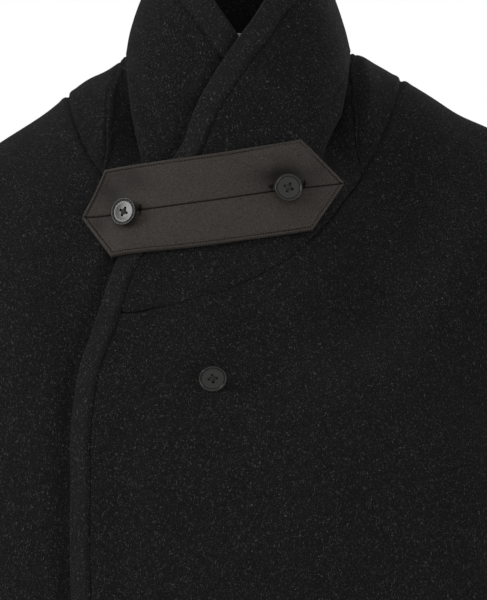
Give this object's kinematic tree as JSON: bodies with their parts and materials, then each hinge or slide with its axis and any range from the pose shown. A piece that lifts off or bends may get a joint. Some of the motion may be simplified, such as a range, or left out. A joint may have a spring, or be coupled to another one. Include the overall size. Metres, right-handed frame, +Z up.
{
  "type": "shawl collar coat",
  "caption": "Hip-to-knee wool coat, worn shape and hollow, with a high lapped shawl collar, self-fabric edge band, pointed buttoned tab across the lap and set-in sleeves.",
  "frame": {"origin": "on the wearer's centre line, level with the neck points of the shoulders, in the hollow of the neck", "axes": "+X to the wearer's left, -Y to the wearer's front, +Z up"},
  "size_m": [0.7444, 0.3129, 1.1384],
  "materials": {
    "melton": "matt fulled wool with pale flecks",
    "tab_cotton": "smooth cotton with a faint sheen",
    "button": "polished to a soft shine",
    "label": "plain woven tape"
  },
  "bodies": {
    "root": {"collar_left": "melton", "collar_right": "melton", "gusset_left": "melton", "gusset_right": "melton", "front_left": "melton", "front_right": "melton", "back": "melton", "sleeve_left": "melton", "sleeve_right": "melton", "edge_band_left": "melton", "edge_band_right": "melton", "collar_band_left": "melton", "collar_band_right": "melton", "tab": "tab_cotton", "tab_button_left": "button", "tab_button_right": "button", "front_button": "button", "neck_label": "label"}
  },
  "joints": []
}
